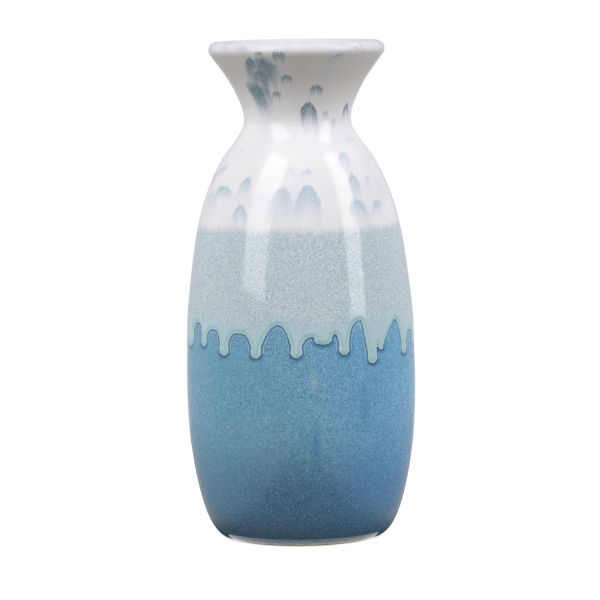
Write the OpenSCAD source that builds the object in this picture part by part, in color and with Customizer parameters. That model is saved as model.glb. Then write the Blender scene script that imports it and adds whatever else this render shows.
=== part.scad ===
// Glazed stoneware bud vase: a barrel body drawn in to a narrow neck under a flared, rolled lip.
// The clay body is one hollow, thrown piece, and every glaze is a fired coat of its own on it.
// The origin is the centre of the foot ring, on the table, and +Z is up. Millimetres.
// Angles round the vase start at the front, -Y, and grow towards +X.

/* [Form] */
// Height from the table to the top of the lip
height = 220; // [200:1:240]
// Outside radius at the widest part of the belly
belly_r = 51.2; // [48:0.1:54]
// Outside radius at the narrowest part of the neck
neck_r = 23.6; // [22:0.1:26]
// Outside radius of the lip
lip_r = 38.9; // [37:0.1:41]
// Radius of the roll of the lip, in section
lip_roll = 3.6; // [3.2:0.1:4]
// Lean of the flare under the lip, from upright, in degrees
flare_lean = 36; // [32:1:40]
// Radius at which the belly, turned under, would touch the table
turn_r = 33.4; // [33:0.1:36]

/* [Clay] */
// Thickness of the wall with its glaze on both sides
wall = 5.6; // [5:0.1:6.5]
// Height of the clay floor's underside above the table
recess = 2; // [1.5:0.1:3]
// Height of the glazed floor inside
floor_z = 8; // [7:0.1:10]
// Outside radius of the bare foot ring
ring_r = 33; // [31:0.1:33]
// Width of the bare foot ring
ring_w = 5; // [4:0.1:7]

/* [Glaze] */
// Thickness of the deep blue coat on the clay
blue_t = 0.6; // [0.4:0.05:0.8]
// Thickness of the pale coat where it runs over the blue one
lap_t = 0.5; // [0.3:0.05:0.6]
// Thickness of the liner inside
liner_t = 0.6; // [0.4:0.05:0.8]

/* [Hidden] */
$fn = 180;

// The outside face of the outermost coat, from the foot up to the lip, as
// [height, radius, change of radius with height] at the few places that give it its shape.
lip_centre = [lip_r - lip_roll, height - lip_roll];
lip_normal = [cos(flare_lean), -sin(flare_lean)];
lip_joint = lip_centre + lip_roll * lip_normal;
stations = [
    [0.079 * height, 0.887 * belly_r, 0.27],                       // over the foot
    [0.322 * height, belly_r, 0],                                  // belly
    [0.582 * height, 0.911 * belly_r, -0.152],                     // above the belly
    [0.764 * height, 0.658 * belly_r, -0.583],                     // shoulder
    [0.843 * height, neck_r, 0],                                   // neck
    [0.909 * height, neck_r + 0.32 * (lip_r - neck_r), 0.514],     // flare
    [lip_joint[1], lip_joint[0], tan(flare_lean)]                  // under the lip
];

// Every coat is drawn on the same levels up the wall, so that two coats meet face to face.
level_count = 52;
lap_level = 23;     // the blue coat ends here, under the pale one
band_level = 32;    // pale coat below, white coat above
throat_level = 44;  // white coat above, liner below, inside the neck
curtain_level = 16; // below the lowest drip
wall_bottom = stations[0][0];
wall_top = lip_joint[1];
function level(i) = wall_bottom + (wall_top - wall_bottom) * i / level_count;

// Cubic through two stations a and b that keeps their slopes
function between(a, b, z) =
    let (h = b[0] - a[0], t = (z - a[0]) / h, t2 = t * t, t3 = t2 * t)
    (2 * t3 - 3 * t2 + 1) * a[1] + (t3 - 2 * t2 + t) * h * a[2]
        + (3 * t2 - 2 * t3) * b[1] + (t3 - t2) * h * b[2];
function span(z, i = 0) = i >= len(stations) - 2 || z <= stations[i + 1][0] ? i : span(z, i + 1);
function form_r(z) = between(stations[span(z)], stations[span(z) + 1], z);
slope_step = 0.05;  // the wall's slope is taken across this much height, up and down
function form_slope(z) = (form_r(z + slope_step) - form_r(z - slope_step)) / (2 * slope_step);
function form_normal(z) = let (s = form_slope(z)) [1, -s] / norm([1, s]);

// Point on the wall at height z, a depth below the outside face
function wall_point(z, depth) = [form_r(z), z] - depth * form_normal(z);
// The wall thickens from the neck to the rolled lip
function wall_t(z) =
    let (u = max(0, (z - stations[4][0]) / (wall_top - stations[4][0])))
    wall + (2 * lip_roll - wall) * u;
function outside(from, to, depth) =
    [for (i = [from : sign(to - from) : to]) wall_point(level(i), depth)];
// The inside face, moved by a depth into the wall
function inside(from, to, depth) =
    [for (i = [from : sign(to - from) : to]) wall_point(level(i), wall_t(level(i)) - depth)];

function reversed(points) = [for (i = [len(points) - 1 : -1 : 0]) points[i]];

// The roll over the lip, from the outside to the inside, with a coat of each depth
lip_steps = 20;
function lip_arc(out_depth, in_depth) = [
    for (k = [0 : lip_steps])
        let (a = -flare_lean + 180 * k / lip_steps,
             depth = out_depth + (in_depth - out_depth) * k / lip_steps)
        lip_centre + (lip_roll - depth) * [cos(a), sin(a)]
];

// The curve under the belly, as one Bezier from the wall's bottom to the table
turn_start = [stations[0][1], stations[0][0]];
turn_pull = 8;      // how far it keeps the wall's own slope, and the table's
foot_pull = 5.8;
turn_points = [
    turn_start,
    turn_start - turn_pull * [stations[0][2], 1],
    [turn_r + foot_pull, 0],
    [turn_r, 0]
];
turn_end = 0.84;    // the blue coat stops here, short of the foot ring
turn_steps = 14;
curve_step = 0.001; // the curve's direction is taken across this much of it
function bezier(p, t) =
    pow(1 - t, 3) * p[0] + 3 * pow(1 - t, 2) * t * p[1] + 3 * (1 - t) * t * t * p[2] + t * t * t * p[3];
function turn_point(t, depth) =
    let (d = bezier(turn_points, t + curve_step) - bezier(turn_points, t - curve_step))
    bezier(turn_points, t) - depth * [-d[1], d[0]] / norm(d);
function turn(from, to, depth) =
    [for (k = [0 : turn_steps]) turn_point(from + (to - from) * k / turn_steps, depth)];

// The curve inside, from the wall's bottom level to the floor
bowl_pull = 6;      // how far it keeps the wall's own slope
bowl_reach = 17;    // how far in from the wall the floor is flat
floor_pull = 9;     // how far it keeps the floor's own slope
function bowl(depth) =
    let (start = wall_point(level(0), wall_t(level(0)) - depth),
         flat = [start[0] - bowl_reach, floor_z - depth])
    [for (k = [1 : turn_steps])
        bezier([start, start - bowl_pull * [stations[0][2], 1], flat + [floor_pull, 0], flat],
               k / turn_steps)];

coat_t = blue_t + lap_t;    // glaze on the clay above the lap

// The foot ring's outline, from the middle of the recess out to just under the blue coat's end
bevel = 0.4;        // bevel of the ring's two edges, and the rise of the recess to its middle
recess_lean = 1.5;  // how far the recess's side leans in
ring_spread = 0.6;  // how far the ring's outside spreads on its way up
bare_step = 0.2;    // the blue coat ends this far above the bare clay
function foot() =
    let (inner_r = ring_r - ring_w)
    [[0, recess + bevel], [inner_r - recess_lean, recess], [inner_r, bevel], [inner_r + bevel, 0],
     [ring_r - bevel, 0], [ring_r, bevel],
     [ring_r + ring_spread, turn_point(turn_end, coat_t)[1] - bare_step]];

// The bare clay: foot ring, outside, lip, inside and floor
module clay_body() color("bisque")
    rotate_extrude()
        polygon(concat(
            foot(),
            turn(turn_end, 0, coat_t),
            outside(1, level_count, coat_t),
            lip_arc(coat_t, liner_t),
            inside(level_count, 0, liner_t),
            bowl(liner_t),
            [[0, floor_z - liner_t]]
        ));

// The deep blue coat, from the foot up to under the pale one
module blue_glaze() color("steelblue")
    rotate_extrude()
        polygon(concat(
            turn(turn_end, 0, lap_t),
            outside(1, lap_level, lap_t),
            outside(lap_level, 0, coat_t),
            turn(0, turn_end, coat_t)
        ));

// The runs of the pale coat over the blue one, going round from the left of the front:
// [angle, height of the tip, half width, height of the arch after it, place of that arch's
//  crest between the two runs from 0 to 1, squareness of the arch's left and right sides]
runs = [
    [-95.2, 84.3, 2.4, 95.2, 0.5, 2.4, 2.2], [-75.6, 86.6, 6, 98, 0.6, 3, 2.6],
    [-57.5, 88, 2.4, 96, 0.53, 2.2, 2.6], [-41.5, 85, 2.8, 95, 0.5, 3.4, 2.4],
    [-22.7, 84.5, 2.5, 99, 0.58, 1.7, 2], [-2.1, 84.8, 2.6, 93.7, 0.85, 2.4, 1.6],
    [11.3, 90.4, 4, 94.6, 0.6, 1.6, 2], [22, 85.5, 2.5, 100, 0.7, 2.5, 1.3],
    [38.2, 81, 2.7, 89.5, 0.5, 2, 2], [43.8, 86.5, 1.6, 99, 0.65, 1.2, 1.9],
    [64.2, 83, 2.6, 93, 0.5, 2.2, 2.2], [80, 86, 2.3, 97, 0.4, 2.2, 1.6],
    [97, 82.5, 2.7, 95, 0.5, 3, 2.4], [115, 87, 2.2, 99.5, 0.55, 1.6, 2.4],
    [133, 84, 2.5, 93.5, 0.5, 2.4, 2.4], [144, 89, 3, 96, 0.5, 1.6, 2.6],
    [158, 82, 2.6, 98.5, 0.6, 2.6, 1.5], [176, 86, 2.3, 95, 0.4, 2.8, 3.2],
    [193, 83.5, 2.6, 99, 0.5, 1.4, 2], [211, 87.5, 2.1, 94.5, 0.5, 2.4, 2.2],
    [224, 82, 2.7, 97, 0.45, 2.6, 1.8], [240, 88, 1.9, 93, 0.5, 2, 2.4],
    [252, 86, 2, 92, 0.55, 2, 2.6]
];
drawn_height = 220;     // the vase's height at which the table's heights are as they stand
run_scale = height / drawn_height;
run_level = 90;         // height at which the runs' widths and gaps are measured
run_r = form_r(run_level * run_scale);
overlap = 0.5;          // each cut reaches this far under the runs on its two sides
cut_below = 4;          // and this far below the coat
cut_beyond = 10;        // and this far outside the belly
arch_steps = 7;
tip_steps = 4;
tip_share = 0.6;        // greatest depth of a run's round tip, as a share of the arch beside it
function run(i) =
    let (r = runs[(i + len(runs)) % len(runs)])
    [r[0], r[1] * run_scale, r[2], r[3] * run_scale, r[4], r[5], r[6]];
function run_angle(i) = run(i)[0] + 360 * floor(i / len(runs));
// A run ends in a round as deep as it is wide, or shallower under a low arch
function tip_depth(i) = min(run(i)[2], tip_share * (min(run(i - 1)[3], run(i)[3]) - run(i)[1]));
// One side of run i, from its tip up to the crest of the arch beside it, as [across, height]
function run_side(i, x, side, crest_x, crest_z, squareness) =
    let (edge_x = x + side * run(i)[2], spring_z = run(i)[1] + tip_depth(i))
    concat(
        [[x - side * overlap, run(i)[1]]],
        [for (k = [0 : tip_steps - 1]) let (a = 90 * k / tip_steps)
            [x + side * run(i)[2] * sin(a), spring_z - tip_depth(i) * cos(a)]],
        [for (k = [0 : arch_steps]) let (a = 90 * k / arch_steps)
            [crest_x + (edge_x - crest_x) * pow(cos(a), 2 / squareness),
             spring_z + (crest_z - spring_z) * pow(sin(a), 2 / squareness)]]
    );
// The arch of bare blue between run i and the next, drawn flat on the plane that faces it
module arch(i) {
    half = (run_angle(i + 1) - run_angle(i)) / 2;
    left = -run_r * sin(half);
    right = run_r * sin(half);
    left_edge = left + run(i)[2];
    right_edge = right - run(i + 1)[2];
    crest = left_edge + (right_edge - left_edge) * run(i)[4];
    left_side = run_side(i, left, 1, crest, run(i)[3], run(i)[5]);
    right_side = run_side(i + 1, right, -1, crest, run(i)[3], run(i)[6]);
    below = level(curtain_level) - cut_below;
    polygon(concat(
        [[left - overlap, below]],
        left_side,
        [for (k = [len(right_side) - 2 : -1 : 0]) right_side[k]],    // both sides share the crest
        [[right + overlap, below]]
    ));
}

// The pale blue coat, from the white one down to the drips that it runs into over the blue
module pale_drip_glaze() color("lightblue")
    difference() {
        rotate_extrude()
            polygon(concat(
                outside(curtain_level, band_level, 0),
                outside(band_level, lap_level, coat_t),
                outside(lap_level, curtain_level, lap_t)
            ));
        for (i = [0 : len(runs) - 1])
            rotate([0, 0, (run_angle(i) + run_angle(i + 1)) / 2])
                rotate([90, 0, 0])
                    linear_extrude(height = belly_r + cut_beyond)
                        arch(i);
    }

// The white coat, from the shoulder over the lip and down into the throat
module white_lip_glaze() color("white")
    rotate_extrude()
        polygon(concat(
            outside(band_level, level_count, 0),
            lip_arc(0, 0),
            inside(level_count, throat_level, 0),
            inside(throat_level, level_count, liner_t),
            reversed(lip_arc(coat_t, liner_t)),
            outside(level_count, band_level, coat_t)
        ));

// The clear white liner, which makes the inside hold water
module liner_glaze() color("ivory")
    rotate_extrude()
        polygon(concat(
            inside(throat_level, 0, 0),
            bowl(0),
            [[0, floor_z], [0, floor_z - liner_t]],
            reversed(bowl(liner_t)),
            inside(0, throat_level, liner_t)
        ));

clay_body();
blue_glaze();
pale_drip_glaze();
white_lip_glaze();
liner_glaze();
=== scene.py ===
import bmesh
import bpy
import numpy as np
from mathutils import Matrix, Vector
from mathutils.geometry import delaunay_2d_cdt
from mathutils.kdtree import KDTree


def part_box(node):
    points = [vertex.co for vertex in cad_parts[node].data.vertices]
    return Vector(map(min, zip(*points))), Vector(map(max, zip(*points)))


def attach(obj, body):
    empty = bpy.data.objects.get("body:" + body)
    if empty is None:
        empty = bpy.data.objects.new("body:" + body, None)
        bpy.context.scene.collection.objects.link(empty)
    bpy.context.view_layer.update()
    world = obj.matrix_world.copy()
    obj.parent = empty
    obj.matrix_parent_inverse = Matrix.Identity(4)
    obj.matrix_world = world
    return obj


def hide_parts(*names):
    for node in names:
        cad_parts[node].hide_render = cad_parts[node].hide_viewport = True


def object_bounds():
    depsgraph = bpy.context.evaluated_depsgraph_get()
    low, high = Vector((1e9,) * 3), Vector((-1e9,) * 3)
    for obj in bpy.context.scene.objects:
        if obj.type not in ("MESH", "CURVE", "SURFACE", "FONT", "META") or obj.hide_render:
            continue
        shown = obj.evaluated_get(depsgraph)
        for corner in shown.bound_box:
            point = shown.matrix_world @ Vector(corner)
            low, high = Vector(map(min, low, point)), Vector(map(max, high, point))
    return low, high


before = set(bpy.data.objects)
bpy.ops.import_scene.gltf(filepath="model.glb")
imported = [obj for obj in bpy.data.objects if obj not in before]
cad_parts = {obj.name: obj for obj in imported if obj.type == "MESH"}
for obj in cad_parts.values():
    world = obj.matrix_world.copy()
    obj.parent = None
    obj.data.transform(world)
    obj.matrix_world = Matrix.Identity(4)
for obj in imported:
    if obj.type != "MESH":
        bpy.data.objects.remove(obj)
cad_low, cad_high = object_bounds()

# ---------------------------------------------------------------------------------------------
# The clay body: one hollow piece of stoneware, thrown on a wheel and fired. It is bare only at
# the foot ring. The CAD piece is shown as it is, in a bare-clay finish, and because every glaze
# is laid on it, the form of its wall is worked out here.

mm = 0.001
height = cad_high.z
lap_t = 0.5 * mm            # pale coat over the blue one
blue_t = 0.6 * mm
liner_t = 0.6 * mm
coat_t = lap_t + blue_t     # glaze on the clay above the lap
wall_t = 5.6 * mm           # wall with its glaze on both sides
lip_roll = 3.6 * mm
flare_lean = np.radians(36)

blue_low, blue_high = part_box("blue_glaze")
belly_r = (blue_high.x - blue_low.x) / 2 + lap_t
lip_r = 0.7598 * belly_r
neck_r = 0.4609 * belly_r
turn_r = 0.6523 * belly_r

# The outside of the glazed wall at the few heights that give it its shape:
# height, radius, change of radius with height
lip_centre = np.array([lip_r - lip_roll, height - lip_roll])
under_lip = lip_centre + lip_roll * np.array([np.cos(flare_lean), -np.sin(flare_lean)])
stations = np.array([
    (0.079 * height, 0.887 * belly_r, 0.27),                        # over the foot
    (0.322 * height, belly_r, 0),                                   # belly
    (0.582 * height, 0.911 * belly_r, -0.152),                      # above the belly
    (0.764 * height, 0.658 * belly_r, -0.583),                      # shoulder
    (0.843 * height, neck_r, 0),                                    # neck
    (0.909 * height, neck_r + 0.32 * (lip_r - neck_r), 0.514),      # flare
    (under_lip[1], under_lip[0], np.tan(flare_lean)),               # under the lip
])
wall_bottom, wall_top = stations[0, 0], stations[-1, 0]
level_count = 52            # levels up the wall, and those on which two coats meet
lap_level, band_level, throat_level = 23, 32, 44
slope_step = 0.05 * mm      # the wall's slope is taken across this much height, up and down
turn_pull = 8 * mm          # how far the curve under the belly keeps the wall's own slope
foot_pull = 5.8 * mm        # and the table's
curve_step = 0.001          # the curve's direction is taken across this much of it


def level(i):
    """Height of one of the wall's levels."""
    return wall_bottom + (wall_top - wall_bottom) * i / level_count


lap_z, band_z, throat_z = level(lap_level), level(band_level), level(throat_level)


def wall_r(z):
    """Radius of the outside face at each height, by cubics through the stations."""
    z = np.asarray(z, float)
    i = np.clip(np.searchsorted(stations[:, 0], z) - 1, 0, len(stations) - 2)
    (z0, r0, s0), (z1, r1, s1) = stations[i].T, stations[i + 1].T
    h = z1 - z0
    t = (z - z0) / h
    return ((2 * t**3 - 3 * t**2 + 1) * r0 + (t**3 - 2 * t**2 + t) * h * s0
            + (3 * t**2 - 2 * t**3) * r1 + (t**3 - t**2) * h * s1)


def on_wall(z, depth):
    """Points (radius, height) at a depth below the outside face."""
    z = np.asarray(z, float)
    slope = (wall_r(z + slope_step) - wall_r(z - slope_step)) / (2 * slope_step)
    across = np.stack([np.ones_like(z), -slope], -1) / np.sqrt(1 + slope**2)[..., None]
    return np.stack([wall_r(z), z], -1) - np.asarray(depth)[..., None] * across


def outside(low, high, depth, step):
    """The outside face between two heights, upwards, or downwards where high is the lower."""
    return on_wall(np.linspace(low, high, int(abs(high - low) / step) + 2), depth)


def inside(low, high, depth, step):
    """The inside face, moved by a depth into the wall, which thickens from neck to lip."""
    z = np.linspace(low, high, int(abs(high - low) / step) + 2)
    flare = np.clip((z - stations[4, 0]) / (wall_top - stations[4, 0]), 0, None)
    return on_wall(z, wall_t + (2 * lip_roll - wall_t) * flare - depth)


def over_lip(out_depth, in_depth, steps=20):
    """The roll of the lip, from the outside to the inside."""
    k = np.linspace(0, 1, steps + 1)
    a = np.pi * k - flare_lean
    r = lip_roll - out_depth - (in_depth - out_depth) * k
    return lip_centre + r[:, None] * np.stack([np.cos(a), np.sin(a)], -1)


def bezier(p, t):
    """Points at shares t of the way along a cubic curve with the control points p."""
    t = np.asarray(t, float)[..., None]
    return (1 - t)**3 * p[0] + 3 * (1 - t)**2 * t * p[1] + 3 * (1 - t) * t**2 * p[2] + t**3 * p[3]


def turned_under(start, end, depth, steps=28):
    """The curve under the belly, from the wall's bottom towards the table."""
    top = np.array([stations[0, 1], stations[0, 0]])
    curve = [top, top - turn_pull * np.array([stations[0, 2], 1]),
             np.array([turn_r + foot_pull, 0]), np.array([turn_r, 0])]
    t = np.linspace(start, end, steps + 1)
    along = bezier(curve, t + curve_step) - bezier(curve, t - curve_step)
    across = np.stack([-along[:, 1], along[:, 0]], -1)
    return bezier(curve, t) - depth * across / np.linalg.norm(across, axis=1)[:, None]


def put(tree, kind, inputs=None, **settings):
    """A new node in a tree, with its settings, and its inputs given a value or a link."""
    made = tree.nodes.new(kind)
    for name, value in settings.items():
        setattr(made, name, value)
    for key, value in (inputs or {}).items():
        if isinstance(value, bpy.types.NodeSocket):
            tree.links.new(value, made.inputs[key])
        else:
            made.inputs[key].default_value = value
    return made


def sums(tree, operation, *terms, clamp=False):
    """The result of a Math node in a shader tree."""
    return put(tree, "ShaderNodeMath", dict(enumerate(terms)), operation=operation,
               use_clamp=clamp).outputs[0]


def product(tree, *factors):
    """The product of any number of values in a shader tree."""
    result = factors[0]
    for factor in factors[1:]:
        result = sums(tree, "MULTIPLY", result, factor)
    return result


def fade(tree, value, low, high, start=0.0, end=1.0):
    """Value taken smoothly from low..high to start..end, held at both ends."""
    return put(tree, "ShaderNodeMapRange", {"Value": value, "From Min": low, "From Max": high,
                                            "To Min": start, "To Max": end},
               interpolation_type="SMOOTHSTEP").outputs["Result"]


def tint(tree, share, under, over):
    """One colour laid over another by a share."""
    return put(tree, "ShaderNodeMix", {0: share, 6: under, 7: over},
               data_type="RGBA").outputs[2]


def colour(red, green, blue):
    """A colour as it looks, 0 to 255, made into the linear one that a shader takes."""
    c = np.array([red, green, blue]) / 255
    linear = np.where(c <= 0.04045, c / 12.92, ((c + 0.055) / 1.055)**2.4)
    return (*linear.tolist(), 1.0)


def shader_group(name, inputs, outputs):
    """An empty shader node group with float inputs {name: value} and outputs {name: type}."""
    group = bpy.data.node_groups.new(name, "ShaderNodeTree")
    for label, value in inputs.items():
        group.interface.new_socket(label, in_out="INPUT",
                                   socket_type="NodeSocketFloat").default_value = value
    for label, kind in outputs.items():
        group.interface.new_socket(label, in_out="OUTPUT", socket_type=kind)
    return (group, group.nodes.new("NodeGroupInput").outputs,
            group.nodes.new("NodeGroupOutput").inputs)


def use_group(tree, group, **inputs):
    """The outputs of a group placed in a material, with its inputs set."""
    made = put(tree, "ShaderNodeGroup", node_tree=group)
    for label, value in inputs.items():
        made.inputs[label.replace("_", " ")].default_value = value
    return made.outputs


def new_material(name, roughness):
    """A material with its tree, and its Principled shader."""
    made = bpy.data.materials.new(name)
    made.use_nodes = True
    shader = made.node_tree.nodes["Principled BSDF"]
    shader.inputs["Roughness"].default_value = roughness
    return made, made.node_tree, shader


def place_on(tree):
    """The shaded point's place in the vase's own frame."""
    return put(tree, "ShaderNodeTexCoord").outputs["Object"]


def split_place(tree):
    """The same place as separate X, Y and Z."""
    return put(tree, "ShaderNodeSeparateXYZ", {0: place_on(tree)}).outputs



# Grain of fired clay and glaze: soft specks of one size, drawn out up and down the wall
fired_grain, given, made = shader_group(
    "fired_grain", {"Size mm": 0.8, "Drawn Out": 1.0, "Contrast": 1.0},
    {"Grain": "NodeSocketFloat"})
per_m = sums(fired_grain, "DIVIDE", 1000.0, given["Size mm"])
per_m_up = sums(fired_grain, "DIVIDE", per_m, given["Drawn Out"])
scale = put(fired_grain, "ShaderNodeCombineXYZ", {0: per_m, 1: per_m, 2: per_m_up}).outputs[0]
at = put(fired_grain, "ShaderNodeVectorMath", {0: place_on(fired_grain), 1: scale},
         operation="MULTIPLY")
noise = put(fired_grain, "ShaderNodeTexNoise",
            {"Vector": at.outputs[0], "Scale": 1.0, "Detail": 1.5, "Roughness": 0.6})
swing = sums(fired_grain, "MULTIPLY",
             sums(fired_grain, "SUBTRACT", noise.outputs["Fac"], 0.5), given["Contrast"])
fired_grain.links.new(sums(fired_grain, "ADD", swing, 0.5, clamp=True), made["Grain"])

stoneware, tree, shader = new_material("stoneware", 0.85)
grain = use_group(tree, fired_grain, Size_mm=0.7, Contrast=2.0)["Grain"]
blotch = use_group(tree, fired_grain, Size_mm=9.0, Contrast=1.6)["Grain"]
clay = tint(tree, blotch, colour(206, 186, 158), colour(228, 210, 184))
clay = tint(tree, product(tree, grain, 0.35), clay, colour(150, 122, 92))
tree.links.new(clay, shader.inputs["Base Color"])
rough_clay = put(tree, "ShaderNodeBump", {"Height": grain, "Strength": 0.5, "Distance": 0.15 * mm})
tree.links.new(rough_clay.outputs["Normal"], shader.inputs["Normal"])

clay_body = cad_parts["clay_body"]
clay_body.data.materials.clear()
clay_body.data.materials.append(stoneware)

# ---------------------------------------------------------------------------------------------
# The deep blue coat: a gloss glaze that the foot end of the vase was dipped in. It ends in a
# rounded rim just above the foot ring, and its other end lies under the pale coat. It broke
# into a fine pale grain in the kiln, and a milky line follows the edge of the runs over it.

segments = 360          # columns of faces round each turned piece
fine_low = 76 * mm      # from here up its face is drawn finely, to carry the milky line
foot_end = 0.84         # it stops here on the curve under the belly, short of the foot ring
glaze_ior = 1.5


def turned_form():
    """Geometry nodes that turn a closed half section round the axis, one column a degree."""
    tree = bpy.data.node_groups.new("turned_form", "GeometryNodeTree")
    for label, kind in (("Half Section", "NodeSocketGeometry"), ("Segments", "NodeSocketInt"),
                        ("Finish", "NodeSocketMaterial")):
        tree.interface.new_socket(label, in_out="INPUT", socket_type=kind)
    tree.interface.new_socket("Form", in_out="OUTPUT", socket_type="NodeSocketGeometry")
    given = put(tree, "NodeGroupInput").outputs
    rows = put(tree, "GeometryNodeAttributeDomainSize",
               {"Geometry": given["Half Section"]}).outputs["Point Count"]
    columns = sums(tree, "ADD", given["Segments"], 1)
    grid = put(tree, "GeometryNodeMeshGrid", {"Vertices X": columns, "Vertices Y": rows})
    index = put(tree, "GeometryNodeInputIndex").outputs[0]
    row = sums(tree, "FLOORED_MODULO", index, rows)
    column = sums(tree, "FLOOR", sums(tree, "DIVIDE", sums(tree, "ADD", index, 0.5), rows))
    section = put(tree, "GeometryNodeSampleIndex",
                  {"Geometry": given["Half Section"],
                   "Value": put(tree, "GeometryNodeInputPosition").outputs[0], "Index": row},
                  data_type="FLOAT_VECTOR")
    angle = sums(tree, "MULTIPLY", column, sums(tree, "DIVIDE", 2 * np.pi, given["Segments"]))
    turned = put(tree, "ShaderNodeVectorRotate", {"Vector": section.outputs[0], "Angle": angle},
                 rotation_type="Z_AXIS")
    form = put(tree, "GeometryNodeSetPosition",
               {"Geometry": grid.outputs["Mesh"], "Position": turned.outputs[0]})
    form = put(tree, "GeometryNodeMergeByDistance",
               {"Geometry": form.outputs[0], "Distance": 1e-6})
    form = put(tree, "GeometryNodeSetShadeSmooth", {"Geometry": form.outputs[0]})
    form = put(tree, "GeometryNodeRealizeInstances", {"Geometry": form.outputs[0]})
    form = put(tree, "GeometryNodeSetMaterial",
               {"Geometry": form.outputs[0], "Material": given["Finish"]})
    put(tree, "NodeGroupOutput", {"Form": form.outputs[0]})
    return tree


turning = turned_form()


def section_of(*stretches):
    """Stretches of (radius, height) points joined end to end, with no point twice over."""
    points = np.concatenate(stretches)
    apart = np.linalg.norm(np.diff(points, axis=0), axis=1) > 1e-6
    return points[np.concatenate([[True], apart])]


def turn_piece(name, section, finish):
    """A piece turned from its half section, as a plain mesh at the origin."""
    mesh = bpy.data.meshes.new(name)
    mesh.from_pydata([(r, 0, z) for r, z in section],
                     [(i, i + 1) for i in range(len(section) - 1)], [])
    piece = bpy.data.objects.new(name, mesh)
    bpy.context.scene.collection.objects.link(piece)
    wheel = piece.modifiers.new("turning", "NODES")
    wheel.node_group = turning
    for socket in turning.interface.items_tree:
        if socket.name == "Segments":
            wheel[socket.identifier] = segments
        if socket.name == "Finish":
            wheel[socket.identifier] = finish
    bpy.context.view_layer.update()
    seen = piece.evaluated_get(bpy.context.evaluated_depsgraph_get())
    fired = bpy.data.meshes.new_from_object(seen)
    piece.modifiers.clear()
    piece.data = fired
    fired.name = name
    smooth_over(piece)
    return piece


def smooth_over(piece):
    """Doubles merged, faces turned outwards and shaded smooth but for sharp edges."""
    work = bmesh.new()
    work.from_mesh(piece.data)
    bmesh.ops.remove_doubles(work, verts=work.verts, dist=1e-6)
    bmesh.ops.dissolve_degenerate(work, edges=work.edges, dist=1e-7)
    bmesh.ops.recalc_face_normals(work, faces=work.faces)
    work.to_mesh(piece.data)
    work.free()
    piece.data.shade_smooth()
    piece.data.set_sharp_from_angle(angle=np.radians(40))


def points_of(piece):
    """The piece's vertices, as an array."""
    co = np.empty(len(piece.data.vertices) * 3, np.float32)
    piece.data.vertices.foreach_get("co", co)
    return co.reshape(-1, 3).astype(float)


def angle_of(points):
    """Angle of each point round the vase in degrees: 0 at the front, growing towards +X."""
    return np.degrees(np.arctan2(points[:, 0], -points[:, 1]))


def record_on(piece, name, values):
    """A value kept on each vertex, for the piece's glaze to read."""
    kept = piece.data.attributes.new(name, "FLOAT", "POINT")
    kept.data.foreach_set("value", np.asarray(values, np.float32))


# The runs of the pale coat over the blue one, going round from the left of the front:
# [angle, height of the tip, half width, height of the arch after it, place of that arch's
#  crest between the two runs from 0 to 1, squareness of the arch's left and right sides]
runs = np.array([
    [-95.2, 84.3, 2.4, 95.2, 0.5, 2.4, 2.2], [-75.6, 86.6, 6, 98, 0.6, 3, 2.6],
    [-57.5, 88, 2.4, 96, 0.53, 2.2, 2.6], [-41.5, 85, 2.8, 95, 0.5, 3.4, 2.4],
    [-22.7, 84.5, 2.5, 99, 0.58, 1.7, 2], [-2.1, 84.8, 2.6, 93.7, 0.85, 2.4, 1.6],
    [11.3, 90.4, 4, 94.6, 0.6, 1.6, 2], [22, 85.5, 2.5, 100, 0.7, 2.5, 1.3],
    [38.2, 81, 2.7, 89.5, 0.5, 2, 2], [43.8, 86.5, 1.6, 99, 0.65, 1.2, 1.9],
    [64.2, 83, 2.6, 93, 0.5, 2.2, 2.2], [80, 86, 2.3, 97, 0.4, 2.2, 1.6],
    [97, 82.5, 2.7, 95, 0.5, 3, 2.4], [115, 87, 2.2, 99.5, 0.55, 1.6, 2.4],
    [133, 84, 2.5, 93.5, 0.5, 2.4, 2.4], [144, 89, 3, 96, 0.5, 1.6, 2.6],
    [158, 82, 2.6, 98.5, 0.6, 2.6, 1.5], [176, 86, 2.3, 95, 0.4, 2.8, 3.2],
    [193, 83.5, 2.6, 99, 0.5, 1.4, 2], [211, 87.5, 2.1, 94.5, 0.5, 2.4, 2.2],
    [224, 82, 2.7, 97, 0.45, 2.6, 1.8], [240, 88, 1.9, 93, 0.5, 2, 2.4],
    [252, 86, 2, 92, 0.55, 2, 2.6],
])
run_r = float(wall_r(90 * mm)) / mm     # in millimetres, as all of the runs' sizes are
tip_share = 0.6         # greatest depth of a run's round tip, as a share of the arch beside it
tip_reach = 3           # nearness to the tip fades out this far above it
waist = 0.12            # share of its half width that a run draws in, just above its tip
waist_rise, waist_spread = 2.4, 1.5


def run_side(run, tip_depth, side, crest, crest_height, squareness):
    """One side of a run from its tip to a crest: (across, height, nearness to the tip)."""
    angle, tip, half = run[:3]
    spring = tip + tip_depth
    a = np.linspace(0, np.pi / 2, 16)
    b = np.linspace(0, np.pi / 2, 60)[1:]
    middle = np.radians(angle) * run_r
    edge = middle + side * half
    up = np.concatenate([spring - tip_depth * np.cos(a),
                         spring + (crest_height - spring) * np.sin(b)**(2 / squareness)])
    across = np.concatenate([middle + side * half * np.sin(a),
                             crest + (edge - crest) * np.cos(b)**(2 / squareness)])
    drawn_in = waist * half * np.exp(-((up - spring - waist_rise) / waist_spread)**2)
    return np.stack([across - side * drawn_in, up, np.clip(1 - (up - tip) / tip_reach, 0, 1)], -1)


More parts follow.
